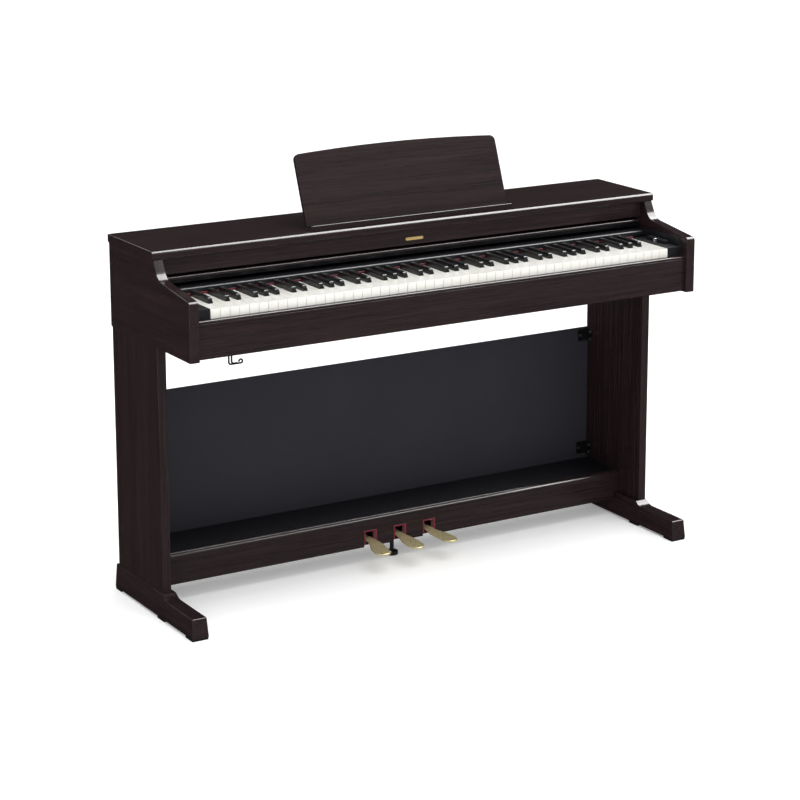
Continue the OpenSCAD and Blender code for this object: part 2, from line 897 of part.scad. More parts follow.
// The black upside-down tray behind the wooden front, with the axle's lugs and the adjuster's plate
module pedal_box() {
    front_back = pedal_box_front - box_front_thick;
    plate_half = pedal_pitch + 58;
    color(black_plastic)
        difference() {
            union() {
                block(-panel_inner, panel_inner, box_rear, front_back, pedal_box_top - box_wall, pedal_box_top);
                block(-panel_inner, panel_inner, box_rear, box_rear + box_wall,
                      pedal_box_bottom, pedal_box_top - box_wall);
                both_sides()
                    block(panel_inner - box_wall, panel_inner, box_rear + box_wall, front_back,
                          pedal_box_bottom, pedal_box_top - box_wall);
                block(-plate_half, plate_half, box_rear + box_wall, front_back,
                      pedal_box_bottom, pedal_box_bottom + 4);
                for (x = [-1.5, -0.5, 0.5, 1.5])
                    block(x * pedal_pitch - 3, x * pedal_pitch + 3, axle_d - 9, axle_d + 9,
                          pedal_box_bottom + 4, pedal_box_top - box_wall);
                translate([0, rear_y - adjuster_d, pedal_box_bottom])
                    cylinder(r = adjuster_r + 5, h = 7);
            }
            foot_room();
            bar_x(-2 * pedal_pitch, 2 * pedal_pitch, axle_d, axle_z, pedal_axle_r + running);
            translate([0, rear_y - adjuster_d, pedal_box_bottom - 1])
                cylinder(r = adjuster_r + running, h = 20);
        }
}

// The wooden front, with a round upper edge and three notches open at the bottom
module pedal_box_front() {
    back = pedal_box_front - box_front_thick;
    color(rosewood)
        difference() {
            side_view(-panel_inner, panel_inner)
                polygon(rounded([[back, pedal_box_bottom, 0], [pedal_box_front, pedal_box_bottom, 1.5],
                                 [pedal_box_front, pedal_box_top + 1, 14], [back, pedal_box_top + 1, 0]]));
            foot_room();
            for (x = pedal_x)
                block(x - notch_width / 2, x + notch_width / 2, back - 1, pedal_box_front + 1,
                      pedal_box_bottom - 1, notch_top);
        }
}

// Red felt on each notch's sides and top
module pedal_felts() {
    felt = 2.5;
    back = pedal_box_front - box_front_thick;
    color(felt_red)
        for (x = pedal_x)
            difference() {
                block(x - notch_width / 2, x + notch_width / 2, back, pedal_box_front + 1,
                      pedal_box_bottom + 6, notch_top);
                block(x - notch_width / 2 + felt, x + notch_width / 2 - felt, back - 1, pedal_box_front + 2,
                      pedal_box_bottom, notch_top - felt);
            }
}

module pedal_axle() {
    axle_half = 1.5 * pedal_pitch + 5;
    color(steel)
        bar_x(-axle_half, axle_half, axle_d, axle_z, pedal_axle_r);
}

// A lever on the axle whose front end widens to a rounded tip. The outer pedals' tips lean outwards.
module pedal(x, lean) {
    lever_half = 8;
    neck_half = 10.5;
    tip_half = 20;
    out = pedal_box_front - axle_d;
    tip = out + pedal_reach;
    back = lever_back - axle_d;
    color(brass)
        translate([x, rear_y - axle_d, axle_z])
            rotate([pedal_slope, 0, 0])
                difference() {
                    union() {
                        translate([0, 0, -pedal_thick / 2])
                            linear_extrude(pedal_thick)
                                mirror([0, 1])
                                    polygon(rounded([[-lever_half, back, 0], [lever_half, back, 0],
                                                     [lever_half, out - 25, 4], [neck_half, out - 12, 4],
                                                     [neck_half + 0.1 * lean, out + 14, 20],
                                                     [tip_half + lean, tip - 42, 30],
                                                     [tip_half + lean, tip, 17], [-tip_half + lean, tip, 17],
                                                     [-tip_half + lean, tip - 42, 30],
                                                     [-neck_half + 0.1 * lean, out + 14, 20],
                                                     [-neck_half, out - 12, 4], [-lever_half, out - 25, 4]]));
                        translate([-lever_half, 0, 0])
                            rotate([0, 90, 0])
                                cylinder(r = pedal_axle_r + 4, h = 2 * lever_half);
                    }
                    translate([-tip_half, 0, 0])
                        rotate([0, 90, 0])
                            cylinder(r = pedal_axle_r + running, h = 2 * tip_half);
                }
}

module left_pedal()
    pedal(pedal_x[0], -11);

module middle_pedal()
    pedal(pedal_x[1], 0);

module right_pedal()
    pedal(pedal_x[2], 11);

// Return springs between each lever's rear end and the box's ceiling
module pedal_springs() {
    turns = 5;
    sides = 6;
    steps = 14;
    low = axle_z + (axle_d - spring_d) * tan(pedal_slope) + pedal_thick / 2 + spring_wire + 0.4;
    high = pedal_box_top - box_wall - spring_wire;
    rings = turns * steps;
    function ring_point(i, j) =
        let (a = 360 * i / steps, b = 360 * j / sides, r = spring_r + spring_wire * cos(b))
        [r * cos(a), r * sin(a), low + (high - low) * i / rings + spring_wire * sin(b)];
    points = [for (i = [0:rings]) for (j = [0:sides - 1]) ring_point(i, j)];
    walls = [for (i = [0:rings - 1]) for (j = [0:sides - 1])
                [i * sides + j, i * sides + (j + 1) % sides,
                 (i + 1) * sides + (j + 1) % sides, (i + 1) * sides + j]];
    ends = [[for (j = [sides - 1:-1:0]) j], [for (j = [0:sides - 1]) rings * sides + j]];
    color(steel)
        for (x = pedal_x)
            translate([x, rear_y - spring_d, 0])
                polyhedron(points, concat(walls, ends));
}

// A screw foot under the middle of the pedal box, turned until it meets the floor
module pedal_adjuster() {
    foot_r = 15;
    foot_high = 9;
    color(black_plastic)
        translate([0, rear_y - adjuster_d, 0])
            union() {
                cylinder(r = foot_r, h = foot_high);
                cylinder(r = adjuster_r, h = pedal_box_bottom + 2);
            }
}

top_board();
left_cheek();
right_cheek();
key_slip();
key_bed();
case_back();
fascia_board();
badge();
cover_guides();
cover_shaft();
key_cover_board();
key_cover_rail();
control_panel();
left_end_block();
right_end_block();
power_button();
volume_knob();
function_button(0);  // voice_button
function_button(1);  // metronome_button
function_button(2);  // record_button
key_felts();
key_frame();
key_pivot_rod();
keys_of(0);  // keys_c
keys_of(1);  // keys_c_sharp
keys_of(2);  // keys_d
keys_of(3);  // keys_d_sharp
keys_of(4);  // keys_e
keys_of(5);  // keys_f
keys_of(6);  // keys_f_sharp
keys_of(7);  // keys_g
keys_of(8);  // keys_g_sharp
keys_of(9);  // keys_a
keys_of(10);  // keys_a_sharp
keys_of(11);  // keys_b
circuit_boards();
speakers();
jack_box();
headphone_hook();
rest_base();
rest_hinges();
rest_plate();
rest_props();
left_side_panel();
right_side_panel();
left_foot();
right_foot();
foot_pads();
back_board();
corner_brackets();
stand_screws();
pedal_box();
pedal_box_front();
pedal_felts();
pedal_axle();
pedal_springs();
pedal_adjuster();
left_pedal();
middle_pedal();
right_pedal();
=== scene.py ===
"""Looks for the console digital piano: materials, soft edges and detailed pieces over the CAD frame."""
import json
import math

import bmesh
import bpy
from mathutils import Matrix, Vector


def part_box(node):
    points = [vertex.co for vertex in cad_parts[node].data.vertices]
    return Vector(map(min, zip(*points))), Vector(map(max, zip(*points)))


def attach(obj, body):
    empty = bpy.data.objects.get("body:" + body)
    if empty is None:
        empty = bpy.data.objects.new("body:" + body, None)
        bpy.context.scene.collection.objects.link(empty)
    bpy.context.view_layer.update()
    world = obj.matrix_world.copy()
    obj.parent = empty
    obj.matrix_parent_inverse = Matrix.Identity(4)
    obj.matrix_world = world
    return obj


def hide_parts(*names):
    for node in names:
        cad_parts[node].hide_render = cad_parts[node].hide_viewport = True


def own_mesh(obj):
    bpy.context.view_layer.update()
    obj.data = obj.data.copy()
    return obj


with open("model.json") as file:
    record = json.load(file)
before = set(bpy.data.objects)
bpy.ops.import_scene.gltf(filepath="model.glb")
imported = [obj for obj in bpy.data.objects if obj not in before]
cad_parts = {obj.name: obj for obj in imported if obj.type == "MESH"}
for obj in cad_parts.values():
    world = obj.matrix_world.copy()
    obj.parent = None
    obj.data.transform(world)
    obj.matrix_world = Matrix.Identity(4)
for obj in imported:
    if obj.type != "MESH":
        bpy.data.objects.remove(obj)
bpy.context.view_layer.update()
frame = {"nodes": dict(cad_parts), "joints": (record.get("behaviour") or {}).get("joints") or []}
nodes = frame["nodes"]
scene = bpy.context.scene
scene.view_settings.view_transform = "Standard"

# ---- Camera --------------------------------------------------------------------------------------------

camera_data = bpy.data.cameras.new("camera")
camera = bpy.data.objects.new("camera", camera_data)
scene.collection.objects.link(camera)
camera.location = (-2.8494, -4.7321, 1.9359)
camera.rotation_euler = (math.radians(90 - 12.6), 0, math.radians(-31.3))
camera_data.lens = 108.5
camera_data.sensor_width = 36
camera_data.shift_x = -0.025
camera_data.shift_y = -0.15
camera_data.clip_end = 100
scene.camera = camera


# ---- Material helpers ----------------------------------------------------------------------------------

def srgb(text):
    """Linear colour with alpha from a #rrggbb string."""
    values = [int(text[i:i + 2], 16) / 255 for i in (1, 3, 5)]
    return tuple(v / 12.92 if v <= 0.04045 else ((v + 0.055) / 1.055) ** 2.4 for v in values) + (1.0,)


class Graph:
    """Adds and links the shader nodes of a new material, or of one that is already made."""

    def __init__(self, name="", material=None):
        self.material = material or bpy.data.materials.new(name)
        self.material.use_nodes = True
        self.tree = self.material.node_tree
        self.shader = self.tree.nodes["Principled BSDF"]

    def add(self, kind, **settings):
        """A new node of a kind, with its settings."""
        made = self.tree.nodes.new("ShaderNode" + kind)
        for key, value in settings.items():
            setattr(made, key, value)
        return made

    def link(self, source, target):
        self.tree.links.new(source, target)

    def set(self, **values):
        """Sets the shader's own sockets, which are the same all over the surface."""
        for key, value in values.items():
            self.shader.inputs[key.replace("_", " ")].default_value = value

    def coords(self, scale=(1, 1, 1)):
        """Object coordinates in metres, stretched by a scale."""
        where = self.add("TexCoord")
        mapping = self.add("Mapping")
        mapping.inputs["Scale"].default_value = scale
        self.link(where.outputs["Object"], mapping.inputs["Vector"])
        return mapping.outputs["Vector"]

    def noise(self, vector, scale=1.0, detail=3.0, rough=0.5, distort=0.0):
        made = self.add("TexNoise")
        made.inputs["Scale"].default_value = scale
        made.inputs["Detail"].default_value = detail
        made.inputs["Roughness"].default_value = rough
        made.inputs["Distortion"].default_value = distort
        self.link(vector, made.inputs["Vector"])
        return made.outputs["Fac"]

    def ramp(self, value, stops):
        made = self.add("ValToRGB")
        band = made.color_ramp
        while len(band.elements) < len(stops):
            band.elements.new(0.5)
        for element, (place, colour) in zip(band.elements, stops):
            element.position = place
            element.color = colour
        self.link(value, made.inputs["Fac"])
        return made.outputs["Color"]

    def mix(self, a, b, share, blend="MIX"):
        made = self.add("Mix", data_type="RGBA", blend_type=blend)
        for value, name in ((share, "Factor"), (a, "A"), (b, "B")):
            socket = made.inputs[name]
            if isinstance(value, bpy.types.NodeSocket):
                self.link(value, socket)
            else:
                socket.default_value = value
        return made.outputs["Result"]

    def span(self, value, low, high):
        """Maps a noise value, which mostly lies between a quarter and three quarters, to low to high."""
        made = self.add("MapRange")
        made.inputs["From Min"].default_value = 0.25
        made.inputs["From Max"].default_value = 0.75
        made.inputs["To Min"].default_value = low
        made.inputs["To Max"].default_value = high
        self.link(value, made.inputs["Value"])
        return made.outputs["Result"]

    def bump(self, value, strength, distance):
        made = self.add("Bump")
        made.inputs["Strength"].default_value = strength
        made.inputs["Distance"].default_value = distance
        self.link(value, made.inputs["Height"])
        self.link(made.outputs["Normal"], self.shader.inputs["Normal"])


def grain_scale(axis, along, across):
    """A scale with one value along the grain's axis and another across it."""
    return tuple(along if letter == axis else across for letter in "xyz")


def rosewood(name, axis, lift=1.0):
    """Dark satin rosewood veneer: broad tonal bands, reddish streaks and fine pores along one axis.

    Only the lacquer coat shines, so that the wood under it stays dark at low angles. lift brightens it, and
    on the fascia that brightening is a painted sheen.
    """
    g = Graph(name)
    bands = g.noise(g.coords(grain_scale(axis, 1.6, 48)), 1, 4, 0.55, 0.6)
    streaks = g.noise(g.coords(grain_scale(axis, 5, 240)), 1, 5, 0.6, 0.3)
    pores = g.noise(g.coords(grain_scale(axis, 24, 900)), 1, 2, 0.5)

    def lifted(text):
        return tuple(v * lift for v in srgb(text)[:3]) + (1.0,)

    body = g.ramp(bands, [(0.3, lifted("#1d1417")), (0.5, lifted("#241a1b")), (0.72, lifted("#2b2021"))])
    red = g.ramp(streaks, [(0.36, lifted("#140e10")), (0.52, lifted("#261b1c")), (0.7, lifted("#392828"))])
    colour = g.mix(body, red, 0.4)
    dark = g.ramp(pores, [(0.36, (0.45, 0.42, 0.42, 1)), (0.46, (1, 1, 1, 1))])
    g.link(g.mix(colour, dark, 0.5, "MULTIPLY"), g.shader.inputs["Base Color"])
    g.link(g.span(streaks, 0.34, 0.46), g.shader.inputs["Roughness"])
    g.set(Specular_IOR_Level=0.0, Coat_Weight=0.6, Coat_Roughness=0.2)
    g.bump(pores, 0.04, 0.0002)
    return g.material


# Half the height over which the veneer turns to paint, in metres
SPLIT_BLUR = 0.0003


def wood_over_black(name, split):
    """The cover rail: veneer above a height and black paint below it."""
    g = Graph(material=rosewood(name, "x"))
    base = g.shader.inputs["Base Color"]
    wood = base.links[0].from_socket
    apart = g.add("SeparateXYZ")
    g.link(g.add("TexCoord").outputs["Object"], apart.inputs["Vector"])
    step = g.add("MapRange")
    step.inputs["From Min"].default_value = split - SPLIT_BLUR
    step.inputs["From Max"].default_value = split + SPLIT_BLUR
    g.link(apart.outputs["Z"], step.inputs["Value"])
    g.link(g.mix(srgb("#0e0f12"), wood, step.outputs["Result"]), base)
    return g.material


def moulded(name, text, rough=(0.42, 0.56), specular=0.35, grain=1400, strength=0.2):
    """Moulded plastic with a fine grain."""
    g = Graph(name)
    fine = g.noise(g.coords(), grain, 2, 0.5)
    broad = g.noise(g.coords(), 14, 3, 0.55)
    base = srgb(text)
    light = tuple(min(1, v * 1.3) for v in base[:3]) + (1.0,)
    g.link(g.mix(base, light, g.span(broad, 0, 0.5)), g.shader.inputs["Base Color"])
    g.link(g.span(fine, *rough), g.shader.inputs["Roughness"])
    g.set(Specular_IOR_Level=specular)
    g.bump(fine, strength, 0.0001)
    return g.material


def ivory():
    """Polished key tops with a faint warm mottling."""
    g = Graph("ivory_keys")
    broad = g.noise(g.coords(), 9, 2, 0.5)
    fine = g.noise(g.coords(), 700, 2, 0.5)
    g.link(g.mix(srgb("#f0efea"), srgb("#e9e7df"), g.span(broad, 0, 1)), g.shader.inputs["Base Color"])
    g.link(g.span(fine, 0.2, 0.3), g.shader.inputs["Roughness"])
    g.set(Specular_IOR_Level=0.5, Coat_Weight=0.3, Coat_Roughness=0.12)
    g.bump(fine, 0.03, 0.0001)
    return g.material


def felt(name):
    """Wool felt: mottled red with a fuzzy surface."""
    g = Graph(name)
    fibres = g.noise(g.coords(), 900, 5, 0.7, 1.2)
    broad = g.noise(g.coords(), 60, 3, 0.5)
    colour = g.ramp(fibres, [(0.3, srgb("#4c0c19")), (0.5, srgb("#74172a")), (0.7, srgb("#8f273b"))])
    g.link(g.mix(colour, srgb("#5e1020"), g.span(broad, 0, 0.45)), g.shader.inputs["Base Color"])
    g.set(Roughness=0.95, Specular_IOR_Level=0.1, Sheen_Weight=0.4, Sheen_Roughness=0.5)
    g.bump(fibres, 0.6, 0.0006)
    return g.material


def metal(name, text, rough, brushed=(1, 1, 1), metallic=1.0):
    """Polished or brushed metal with faint tarnish; a satin lacquer lowers its metallic share."""
    g = Graph(name)
    tarnish = g.noise(g.coords(), 18, 2, 0.5)
    fine = g.noise(g.coords(brushed), 500, 3, 0.6)
    base = srgb(text)
    dull = tuple(v * 0.88 for v in base[:3]) + (1.0,)
    g.link(g.mix(base, dull, g.span(tarnish, 0, 0.7)), g.shader.inputs["Base Color"])
    g.link(g.span(fine, *rough), g.shader.inputs["Roughness"])
    g.set(Metallic=metallic)
    g.bump(fine, 0.02, 0.0001)
    return g.material


def board_paint(name, text):
    """Matt paint on board, with a faint roller texture."""
    g = Graph(name)
    roller = g.noise(g.coords(), 420, 3, 0.6)
    broad = g.noise(g.coords(), 5, 3, 0.5)
    base = srgb(text)
    light = tuple(v * 1.15 for v in base[:3]) + (1.0,)
    g.link(g.mix(base, light, g.span(broad, 0, 1)), g.shader.inputs["Base Color"])
    g.link(g.span(roller, 0.6, 0.75), g.shader.inputs["Roughness"])
    g.set(Specular_IOR_Level=0.25)
    g.bump(roller, 0.15, 0.0002)
    return g.material


def circuit():
    """Green solder mask with rows of lighter tracks."""
    g = Graph("circuit_board")
    tracks = g.add("TexBrick")
    g.link(g.coords((180, 180, 180)), tracks.inputs["Vector"])
    tracks.inputs["Color1"].default_value = srgb("#1c6a3a")
    tracks.inputs["Color2"].default_value = srgb("#17592f")
    tracks.inputs["Mortar"].default_value = srgb("#3f8f5a")
    g.link(tracks.outputs["Color"], g.shader.inputs["Base Color"])
    g.set(Roughness=0.35)
    return g.material


# ---- Materials on the CAD nodes ------------------------------------------------------------------------

wood_x = rosewood("rosewood_along", "x")
wood_y = rosewood("rosewood_deep", "y")
wood_z = rosewood("rosewood_upright", "z")
wood_rest = rosewood("rosewood_rest", "x", 0.95)
# The fascia's veneer is a quarter brighter than the rest: a painted sheen in place of the reflection it
# catches
wood_fascia_painted_sheen = rosewood("rosewood_fascia_painted_sheen", "x", 1.25)
# Height of the veneered nose on the cover's rail, in metres
RAIL_NOSE = 0.006
wood_rail = wood_over_black("rosewood_rail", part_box("key_cover_rail")[1][2] - RAIL_NOSE)
black = moulded("black_plastic", "#15161a", (0.32, 0.44), specular=0.34, strength=0.1)
black_gloss = moulded("black_controls", "#141416", (0.2, 0.3), specular=0.5, strength=0.05)
ebony = moulded("ebony_keys", "#0f1011", (0.22, 0.32), specular=0.5, grain=1600, strength=0.06)
grey_frame = moulded("key_frame_plastic", "#3b3d41")
rubber = moulded("rubber_pads", "#141414", (0.7, 0.85), specular=0.2, grain=800, strength=0.4)
painted = moulded("painted_steel", "#0b0b0d", (0.3, 0.42), specular=0.4, grain=900, strength=0.1)
matt_board = board_paint("back_board_paint", "#2a2930")
case_paint = board_paint("case_board_paint", "#1d1c1f")
red_felt = felt("red_felt")
brass = metal("pedal_brass", "#ddcfa0", (0.22, 0.3), metallic=0.5)
badge_brass = metal("badge_brass", "#d9b878", (0.25, 0.4), metallic=0.4)
steel = metal("brushed_steel", "#b4b7ba", (0.28, 0.42), brushed=(1, 30, 30))
# The nodes that each material covers
LOOKS = {
    wood_x: "top_board key_slip key_cover_board pedal_box_front",
    wood_fascia_painted_sheen: "fascia_board",
    wood_rail: "key_cover_rail",
    wood_y: "left_cheek right_cheek left_foot right_foot",
    wood_z: "left_side_panel right_side_panel",
    wood_rest: "rest_plate rest_base",
    black: "control_panel left_end_block right_end_block cover_guides jack_box rest_hinges pedal_box "
           "pedal_adjuster",
    black_gloss: "power_button voice_button metronome_button record_button",
    ebony: "keys_c_sharp keys_d_sharp keys_f_sharp keys_g_sharp keys_a_sharp",
    ivory(): "keys_c keys_d keys_e keys_f keys_g keys_a keys_b",
    grey_frame: "key_frame",
    rubber: "foot_pads",
    painted: "headphone_hook corner_brackets speakers",
    matt_board: "back_board",
    case_paint: "key_bed case_back",
    red_felt: "key_felts pedal_felts",
    brass: "left_pedal middle_pedal right_pedal",
    badge_brass: "badge",
    steel: "cover_shaft key_pivot_rod stand_screws pedal_axle pedal_springs rest_props volume_knob",
    circuit(): "circuit_boards",
}
for material, names in LOOKS.items():
    for name in names.split():
        mesh = nodes[name].data
        mesh.materials.clear()
        mesh.materials.append(material)

# ---- Soft edges on the CAD nodes -----------------------------------------------------------------------

EDGE_STEPS = 3
EDGE_ANGLE = math.radians(40)
FLAT_ANGLE = math.radians(0.5)
WELD_GAP = 0.00001
# Edge radius in metres, and the nodes that have it
EDGES = {
    0.0018: "left_foot right_foot rest_plate",
    0.0013: "top_board left_cheek right_cheek key_slip left_side_panel right_side_panel pedal_box_front",
    0.0008: "fascia_board key_cover_board key_cover_rail rest_base control_panel left_end_block "
            "right_end_block pedal_box back_board",
    0.0007: "keys_c keys_d keys_e keys_f keys_g keys_a keys_b keys_c_sharp keys_d_sharp keys_f_sharp "
            "keys_g_sharp keys_a_sharp volume_knob power_button voice_button metronome_button "
            "record_button",
    0.0004: "badge jack_box rest_hinges rest_props corner_brackets foot_pads pedal_adjuster key_bed "
            "case_back",
}


def soften(piece, radius):
    """Welds the mesh, merges flat neighbours, rounds its sharp edges and evens its normals."""
    piece.data.polygons.foreach_set("use_smooth", [True] * len(piece.data.polygons))
    weld = piece.modifiers.new("weld", "WELD")
    weld.merge_threshold = WELD_GAP
    flat = piece.modifiers.new("flat", "DECIMATE")
    flat.decimate_type = "DISSOLVE"
    flat.angle_limit = FLAT_ANGLE
    edge = piece.modifiers.new("edge", "BEVEL")
    edge.width = radius
    edge.segments = EDGE_STEPS
    edge.limit_method = "ANGLE"
    edge.angle_limit = EDGE_ANGLE
    even = piece.modifiers.new("even", "WEIGHTED_NORMAL")
    even.keep_sharp = True


for radius, names in EDGES.items():
    for name in names.split():
        soften(nodes[name], radius)

# ---- Pedals and their springs --------------------------------------------------------------------------

# A pedal in metres: it slopes down towards the tip, and every width and thickness is a half
PEDAL_SLOPE = math.radians(4.5)
PEDAL_HALF = 0.0034
TIP_HALF = 0.020
NECK_HALF = 0.0105
LEVER_HALF = 0.008
# The boss round the axle, its bore and the bevel of its rims
BOSS = 0.0078
BOSS_BORE = 0.0042
BOSS_BEVEL = 0.001
# How much the tip's middle stands above its edges, and how long the rise is
CROWN = 0.0009
CROWN_RISE = 0.03
# The end is round over one length and thins over another
END_ROUND = 0.018
END_THIN = 0.004
SECTION_SIDES = 32
BOSS_SIDES = 40
TIP_STATIONS = 60
TAIL_STATIONS = 8
# A spring's wire radius in metres, its turns, and the sides and steps that draw them
SPRING_WIRE = 0.0008
SPRING_TURNS = 7
WIRE_SIDES = 12
TURN_STEPS = 28
springs_low, springs_high = (Vector(corner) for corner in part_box("pedal_springs"))
# The box spans two pitches and one spring, and is one spring deep
PEDAL_PITCH = (springs_high.x - springs_low.x - (springs_high.y - springs_low.y)) / 2
PEDAL_SIDES = {"left": -1, "middle": 0, "right": 1}
joint_place = {j["name"]: Vector(j["pos_m"]) for j in frame["joints"] if "pos_m" in j}


def smooth_mesh(name, verts, faces, material, body):
    """Makes a smooth-shaded piece that rides on a body."""
    mesh = bpy.data.meshes.new(name)
    mesh.from_pydata(verts, [], faces)
    mesh.validate()
    bm = bmesh.new()
    bm.from_mesh(mesh)
    bmesh.ops.recalc_face_normals(bm, faces=bm.faces)
    bm.to_mesh(mesh)
    bm.free()
    mesh.polygons.foreach_set("use_smooth", [True] * len(mesh.polygons))
    mesh.materials.append(material)
    piece = bpy.data.objects.new(name, mesh)
    scene.collection.objects.link(piece)
    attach(piece, body)
    return piece


def tube_faces(rings, sides):
    """Quads between rings of points, with a cap on each end."""
    walls = [(r * sides + i, r * sides + (i + 1) % sides,
              (r + 1) * sides + (i + 1) % sides, (r + 1) * sides + i)
             for r in range(rings - 1) for i in range(sides)]
    return walls + [tuple(range(sides)), tuple((rings - 1) * sides + i for i in range(sides))]


def ease(value, low, high):
    """A smooth step from 0 at low to 1 at high."""
    t = min(1, max(0, (value - low) / (high - low)))
    return t * t * (3 - 2 * t)


def rounded_section(half, thick, crown, power=0.42):
    """A flat oval section with soft edges and a slightly crowned top."""
    points = []
    for i in range(SECTION_SIDES):
        turn = math.tau * (i + 0.5) / SECTION_SIDES
        x = math.copysign(abs(math.cos(turn)) ** power, math.cos(turn))
        z = math.copysign(abs(math.sin(turn)) ** power, math.sin(turn))
        points.append((half * x, thick * z + (crown * (1 - x * x) if z > 0 else 0)))
    return points


def boss_ring(centre, pivot):
    """The points and faces of a ring with bevelled rims round the axle."""
    profile = [(BOSS, -LEVER_HALF + BOSS_BEVEL), (BOSS - BOSS_BEVEL, -LEVER_HALF), (BOSS_BORE, -LEVER_HALF),
               (BOSS_BORE, LEVER_HALF), (BOSS - BOSS_BEVEL, LEVER_HALF), (BOSS, LEVER_HALF - BOSS_BEVEL)]
    count = len(profile)
    verts = []
    for i in range(BOSS_SIDES):
        turn = math.tau * i / BOSS_SIDES
        verts += [(centre + x, pivot.y + r * math.cos(turn), pivot.z + r * math.sin(turn))
                  for r, x in profile]
    faces = [(i * count + j, i * count + (j + 1) % count,
              (i + 1) % BOSS_SIDES * count + (j + 1) % count, (i + 1) % BOSS_SIDES * count + j)
             for i in range(BOSS_SIDES) for j in range(count)]
    return verts, faces


def pedal(side):
    """A cast lever: a straight bar behind the axle, a boss round it, and a crowned tip with a rounded end."""
    node = side + "_pedal"
    pivot = joint_place[node + "_press"]
    low, high = (Vector(corner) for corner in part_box(node))
    # Distances ahead of the axle, down the slope: the tip's end, the tail's end and the box's front
    reach = (pivot.y - low.y - PEDAL_HALF * math.sin(PEDAL_SLOPE)) / math.cos(PEDAL_SLOPE)
    tail = (pivot.y - high.y) / math.cos(PEDAL_SLOPE)
    neck = pivot.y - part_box("pedal_box_front")[0][1]
    centre = PEDAL_SIDES[side] * PEDAL_PITCH
    tip_x = {"left": low.x + TIP_HALF, "middle": (low.x + high.x) / 2, "right": high.x - TIP_HALF}[side]

    def place(x, ahead, z):
        """A point across, along and above the sloped lever."""
        return (x, pivot.y - ahead * math.cos(PEDAL_SLOPE) - z * math.sin(PEDAL_SLOPE),
                pivot.z - ahead * math.sin(PEDAL_SLOPE) + z * math.cos(PEDAL_SLOPE))

    def half_width(ahead):
        """Widens from the lever to the neck inside the box, then to the tip, and closes in a round end."""
        half = LEVER_HALF + (NECK_HALF - LEVER_HALF) * ease(ahead, neck - 0.025, neck - 0.012)
        half += (TIP_HALF - NECK_HALF) * ease(ahead, neck - 0.004, reach - 0.042)
        left = min(1, max(0, reach - ahead) / END_ROUND)
        return max(0.0004, half * math.sqrt(1 - (1 - left) ** 2))

    def stretch(start, end, stations):
        """The points and faces of the bar between two distances, with its stations crowded at the tip."""
        points = []
        for i in range(stations):
            share = i / (stations - 1)
            ahead = start + (end - start) * (math.sin(share * math.pi / 2) if end > neck else share)
            full = min(1, (reach - ahead) / END_THIN + 0.05)
            thick = (PEDAL_HALF - CROWN) * math.sqrt(max(0.02, 1 - (1 - full) ** 2))
            crown = CROWN * ease(ahead, neck, neck + CROWN_RISE)
            middle = centre + (tip_x - centre) * ease(ahead, neck + 0.010, reach - 0.02)
            points += [place(middle + x, ahead, z)
                       for x, z in rounded_section(half_width(ahead), thick, crown)]
        return points, tube_faces(stations, SECTION_SIDES)

    verts, faces = [], []
    for points, sheet in (stretch(BOSS - BOSS_BEVEL, reach, TIP_STATIONS),
                          stretch(tail, BOSS_BEVEL - BOSS, TAIL_STATIONS),
                          boss_ring(centre, pivot)):
        faces += [tuple(len(verts) + i for i in face) for face in sheet]
        verts += points
    piece = smooth_mesh(side + "_pedal_casting", verts, faces, brass, node)
    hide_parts(node)


def spring(side):
    """A coil spring with flat end turns."""
    low, high = springs_low, springs_high
    coil = (high.y - low.y) / 2 - SPRING_WIRE
    x, y = PEDAL_SIDES[side] * PEDAL_PITCH, (low.y + high.y) / 2
    flat = 1 / SPRING_TURNS
    rings = SPRING_TURNS * TURN_STEPS + 1
    verts = []
    for i in range(rings):
        climb = min(1, max(0, (i / (rings - 1) - flat / 2) / (1 - flat)))
        turn = math.tau * i / TURN_STEPS
        z = low.z + SPRING_WIRE + (high.z - low.z - 2 * SPRING_WIRE) * climb
        for j in range(WIRE_SIDES):
            around = math.tau * j / WIRE_SIDES
            r = coil + SPRING_WIRE * math.cos(around)
            verts.append((x + r * math.cos(turn), y + r * math.sin(turn), z + SPRING_WIRE * math.sin(around)))
    piece = smooth_mesh(side + "_pedal_spring", verts, tube_faces(rings, WIRE_SIDES), steel, "piano")
    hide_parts("pedal_springs")
    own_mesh(piece)


for side in PEDAL_SIDES:
    pedal(side)
    spring(side)

# ---- Screws --------------------------------------------------------------------------------------------

# A screw head's radius and height, and the distance of its middle from the board's edges, in metres
HEAD_RADIUS = 0.0036
HEAD_HIGH = 0.0016
SCREW_INSET = 0.012
HEAD_SIDES = 32
DOME_RINGS = 6
REAR_SCREWS = {"case": ("case_back", 5), "board": ("back_board", 4)}
blackened = metal("blackened_screws", "#4a4b4e", (0.3, 0.42), metallic=0.8)


def head_circle(radius, z):
    return [(radius * math.cos(math.tau * i / HEAD_SIDES), radius * math.sin(math.tau * i / HEAD_SIDES), z)
            for i in range(HEAD_SIDES)]


